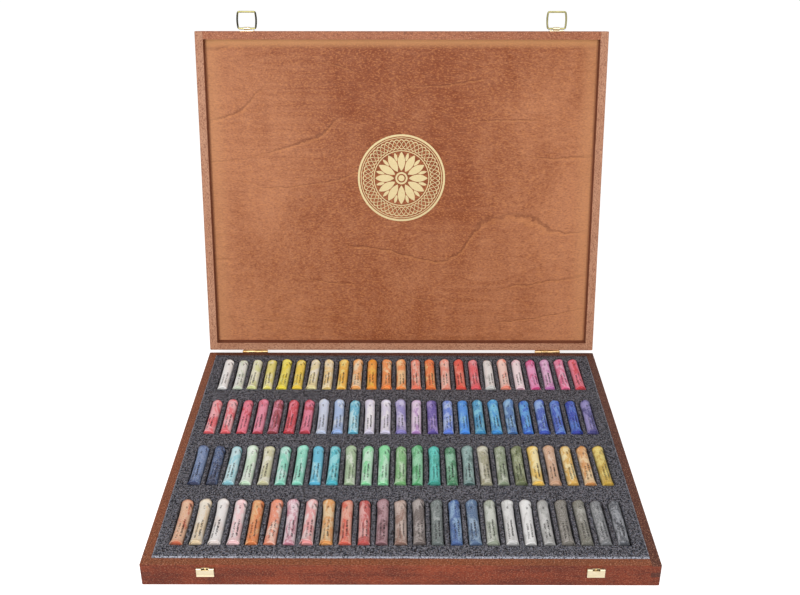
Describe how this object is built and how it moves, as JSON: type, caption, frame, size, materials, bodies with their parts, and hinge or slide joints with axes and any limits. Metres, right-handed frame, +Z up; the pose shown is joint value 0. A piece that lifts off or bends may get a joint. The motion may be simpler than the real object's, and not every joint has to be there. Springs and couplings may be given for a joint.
{
  "type": "hinged wooden pastel case",
  "caption": "Shallow hinged wooden case with a pocketed foam insert that holds rows of paper-wrapped pastel sticks, shut by wire-loop catches.",
  "frame": {"origin": "centre of the base's underside, on the surface that the case stands on", "axes": "+Z up, +X along the case to the right of a person in front of it, -Y to the front, where the catches are; at rest the lid stands open at its stop"},
  "size_m": [0.545, 0.5559, 0.4836],
  "materials": {
    "stained_wood": "satin",
    "base_plywood": "matte",
    "lid_plywood": "satin",
    "foam": "matte",
    "hinge_brass": "satin",
    "catch_brass": "polished",
    "loop_wire": "polished",
    "fastener_brass": "satin",
    "pastels_1_1": "matte",
    "pastels_1_2": "matte",
    "pastels_1_3": "matte",
    "pastels_1_4": "matte",
    "pastels_1_5": "matte",
    "pastels_2_1": "matte",
    "pastels_2_2": "matte",
    "pastels_2_3": "matte",
    "pastels_2_4": "matte",
    "pastels_2_5": "matte",
    "pastels_3_1": "matte",
    "pastels_3_2": "matte",
    "pastels_3_3": "matte",
    "pastels_3_4": "matte",
    "pastels_3_5": "matte",
    "pastels_4_1": "matte",
    "pastels_4_2": "matte",
    "pastels_4_3": "matte",
    "pastels_4_4": "matte",
    "pastels_4_5": "matte"
  },
  "bodies": {
    "base": {"base_front_wall": "stained_wood", "base_back_wall": "stained_wood", "base_left_wall": "stained_wood", "base_right_wall": "stained_wood", "base_bottom_panel": "base_plywood", "foam_base_pad": "foam", "foam_insert": "foam", "hinge_left_base_leaf": "hinge_brass", "hinge_right_base_leaf": "hinge_brass", "hinge_left_pin": "hinge_brass", "hinge_right_pin": "hinge_brass", "hinge_base_screws": "fastener_brass", "catch_left_keeper": "catch_brass", "catch_right_keeper": "catch_brass", "catch_keeper_nails": "fastener_brass"},
    "lid": {"lid_front_rail": "stained_wood", "lid_back_rail": "stained_wood", "lid_left_rail": "stained_wood", "lid_right_rail": "stained_wood", "lid_panel": "lid_plywood", "hinge_left_lid_leaf": "hinge_brass", "hinge_right_lid_leaf": "hinge_brass", "hinge_lid_screws": "fastener_brass", "catch_left_plate": "catch_brass", "catch_right_plate": "catch_brass", "catch_plate_nails": "fastener_brass"},
    "catch_left": {"catch_left_loop": "loop_wire"},
    "catch_right": {"catch_right_loop": "loop_wire"},
    "pastels_1_1": {"pastels_row_1_group_1": "pastels_1_1"},
    "pastels_1_2": {"pastels_row_1_group_2": "pastels_1_2"},
    "pastels_1_3": {"pastels_row_1_group_3": "pastels_1_3"},
    "pastels_1_4": {"pastels_row_1_group_4": "pastels_1_4"},
    "pastels_1_5": {"pastels_row_1_group_5": "pastels_1_5"},
    "pastels_2_1": {"pastels_row_2_group_1": "pastels_2_1"},
    "pastels_2_2": {"pastels_row_2_group_2": "pastels_2_2"},
    "pastels_2_3": {"pastels_row_2_group_3": "pastels_2_3"},
    "pastels_2_4": {"pastels_row_2_group_4": "pastels_2_4"},
    "pastels_2_5": {"pastels_row_2_group_5": "pastels_2_5"},
    "pastels_3_1": {"pastels_row_3_group_1": "pastels_3_1"},
    "pastels_3_2": {"pastels_row_3_group_2": "pastels_3_2"},
    "pastels_3_3": {"pastels_row_3_group_3": "pastels_3_3"},
    "pastels_3_4": {"pastels_row_3_group_4": "pastels_3_4"},
    "pastels_3_5": {"pastels_row_3_group_5": "pastels_3_5"},
    "pastels_4_1": {"pastels_row_4_group_1": "pastels_4_1"},
    "pastels_4_2": {"pastels_row_4_group_2": "pastels_4_2"},
    "pastels_4_3": {"pastels_row_4_group_3": "pastels_4_3"},
    "pastels_4_4": {"pastels_row_4_group_4": "pastels_4_4"},
    "pastels_4_5": {"pastels_row_4_group_5": "pastels_4_5"}
  },
  "joints": [
    {"name": "lid_hinge", "type": "hinge", "parent": "base", "child": "lid", "pos_m": [0, 0.2222, 0.0272], "axis": [-1, 0, 0], "range_deg": [-102, 0]},
    {"name": "catch_left_swing", "type": "hinge", "parent": "lid", "child": "catch_left", "pos_m": [-0.204, 0.32134, 0.46163], "axis": [-1, 0, 0], "range_deg": [-90, 85]},
    {"name": "catch_right_swing", "type": "hinge", "parent": "lid", "child": "catch_right", "pos_m": [0.204, 0.32134, 0.46163], "axis": [-1, 0, 0], "range_deg": [-90, 85]},
    {"name": "pastels_1_1_lift", "type": "slide", "parent": "base", "child": "pastels_1_1", "axis": [0, 0, 1], "range_m": [0, 0.05]},
    {"name": "pastels_1_2_lift", "type": "slide", "parent": "base", "child": "pastels_1_2", "axis": [0, 0, 1], "range_m": [0, 0.05]},
    {"name": "pastels_1_3_lift", "type": "slide", "parent": "base", "child": "pastels_1_3", "axis": [0, 0, 1], "range_m": [0, 0.05]},
    {"name": "pastels_1_4_lift", "type": "slide", "parent": "base", "child": "pastels_1_4", "axis": [0, 0, 1], "range_m": [0, 0.05]},
    {"name": "pastels_1_5_lift", "type": "slide", "parent": "base", "child": "pastels_1_5", "axis": [0, 0, 1], "range_m": [0, 0.05]},
    {"name": "pastels_2_1_lift", "type": "slide", "parent": "base", "child": "pastels_2_1", "axis": [0, 0, 1], "range_m": [0, 0.05]},
    {"name": "pastels_2_2_lift", "type": "slide", "parent": "base", "child": "pastels_2_2", "axis": [0, 0, 1], "range_m": [0, 0.05]},
    {"name": "pastels_2_3_lift", "type": "slide", "parent": "base", "child": "pastels_2_3", "axis": [0, 0, 1], "range_m": [0, 0.05]},
    {"name": "pastels_2_4_lift", "type": "slide", "parent": "base", "child": "pastels_2_4", "axis": [0, 0, 1], "range_m": [0, 0.05]},
    {"name": "pastels_2_5_lift", "type": "slide", "parent": "base", "child": "pastels_2_5", "axis": [0, 0, 1], "range_m": [0, 0.05]},
    {"name": "pastels_3_1_lift", "type": "slide", "parent": "base", "child": "pastels_3_1", "axis": [0, 0, 1], "range_m": [0, 0.05]},
    {"name": "pastels_3_2_lift", "type": "slide", "parent": "base", "child": "pastels_3_2", "axis": [0, 0, 1], "range_m": [0, 0.05]},
    {"name": "pastels_3_3_lift", "type": "slide", "parent": "base", "child": "pastels_3_3", "axis": [0, 0, 1], "range_m": [0, 0.05]},
    {"name": "pastels_3_4_lift", "type": "slide", "parent": "base", "child": "pastels_3_4", "axis": [0, 0, 1], "range_m": [0, 0.05]},
    {"name": "pastels_3_5_lift", "type": "slide", "parent": "base", "child": "pastels_3_5", "axis": [0, 0, 1], "range_m": [0, 0.05]},
    {"name": "pastels_4_1_lift", "type": "slide", "parent": "base", "child": "pastels_4_1", "axis": [0, 0, 1], "range_m": [0, 0.05]},
    {"name": "pastels_4_2_lift", "type": "slide", "parent": "base", "child": "pastels_4_2", "axis": [0, 0, 1], "range_m": [0, 0.05]},
    {"name": "pastels_4_3_lift", "type": "slide", "parent": "base", "child": "pastels_4_3", "axis": [0, 0, 1], "range_m": [0, 0.05]},
    {"name": "pastels_4_4_lift", "type": "slide", "parent": "base", "child": "pastels_4_4", "axis": [0, 0, 1], "range_m": [0, 0.05]},
    {"name": "pastels_4_5_lift", "type": "slide", "parent": "base", "child": "pastels_4_5", "axis": [0, 0, 1], "range_m": [0, 0.05]}
  ]
}
